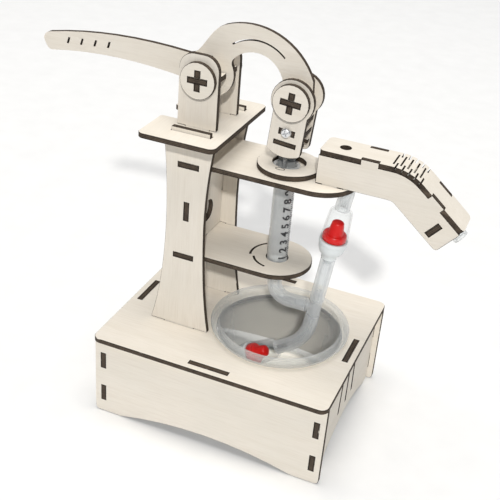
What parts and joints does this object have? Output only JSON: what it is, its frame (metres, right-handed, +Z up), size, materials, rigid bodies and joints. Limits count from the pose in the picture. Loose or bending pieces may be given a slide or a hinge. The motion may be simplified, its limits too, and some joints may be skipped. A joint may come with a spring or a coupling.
{
  "type": "hand water pump kit",
  "caption": "Wooden model of a lever water pump: laser-cut plywood box and column, syringe pump with hoses and check valves, clear bowl and bent spout.",
  "frame": {"origin": "on the ground, under the middle of the whole pump box", "axes": "+X from the lever handle to the spout, +Y to the back, +Z up"},
  "size_m": [0.2648, 0.125, 0.2461],
  "materials": {
    "plywood": "bare sanded birch plywood with laser-burnt edges",
    "steel": "zinc-plated",
    "clear_bowl": "clear, glossy, moulded",
    "syringe_plastic": "translucent, slightly milky",
    "hose": "soft translucent tube",
    "tee_plastic": "translucent moulded fitting",
    "white_plastic": "satin white moulding",
    "red_plastic": "bright red moulding",
    "valve_shell_plastic": "clear moulding"
  },
  "bodies": {
    "frame": {"base_top": "plywood", "base_front_wall": "plywood", "base_back_wall": "plywood", "base_left_wall": "plywood", "base_right_wall": "plywood", "column_front_plate": "plywood", "column_rear_plate": "plywood", "column_web": "plywood", "lower_shelf": "plywood", "upper_shelf": "plywood", "cap_plate": "plywood", "post_front": "plywood", "post_rear": "plywood", "axle_a_flat_strip": "plywood", "axle_a_upright_strip": "plywood", "axle_a_disc_front": "plywood", "axle_a_disc_rear": "plywood", "syringe_ring": "plywood", "spout_front_side": "plywood", "spout_rear_side": "plywood", "spout_lid": "plywood", "spout_holder": "plywood", "bowl": "clear_bowl", "syringe_barrel": "syringe_plastic", "nozzle_hose": "hose", "riser_hose": "hose", "intake_hose": "hose", "outlet_hose": "hose", "tee": "tee_plastic", "outlet_valve_base": "white_plastic", "intake_valve_base": "white_plastic", "outlet_valve_core": "red_plastic", "intake_valve_core": "red_plastic", "outlet_valve_shell": "valve_shell_plastic", "intake_valve_shell": "valve_shell_plastic"},
    "lever": {"lever": "plywood"},
    "link": {"link_front": "plywood", "link_rear": "plywood", "link_spacer": "plywood", "yoke_upper_plate": "plywood", "yoke_lower_plate": "plywood", "axle_b_flat_strip": "plywood", "axle_b_upright_strip": "plywood", "axle_b_disc_front": "plywood", "axle_b_disc_rear": "plywood", "screw_front": "steel", "screw_rear": "steel", "nut_front": "steel", "nut_rear": "steel"},
    "plunger": {"plunger_rod": "syringe_plastic", "plunger_piston": "syringe_plastic"}
  },
  "joints": [
    {"name": "lever_hinge", "type": "hinge", "parent": "frame", "child": "lever", "pos_m": [-0.02347, 0, 0.215], "axis": [0, -1, 0], "range_deg": [-6, 35]},
    {"name": "link_hinge", "type": "hinge", "parent": "lever", "child": "link", "pos_m": [0.02853, 0, 0.211], "axis": [0, -1, 0], "range_deg": [-29.75, 5.1]},
    {"name": "plunger_slide", "type": "slide", "parent": "frame", "child": "plunger", "axis": [0, 0, 1], "range_m": [-0.00524, 0.03055]}
  ],
  "couplings": [
    {"joint": "link_hinge", "follows": "lever_hinge", "ratio": -0.85},
    {"joint": "plunger_slide", "follows": "lever_hinge", "m_per_rad": 0.05}
  ]
}
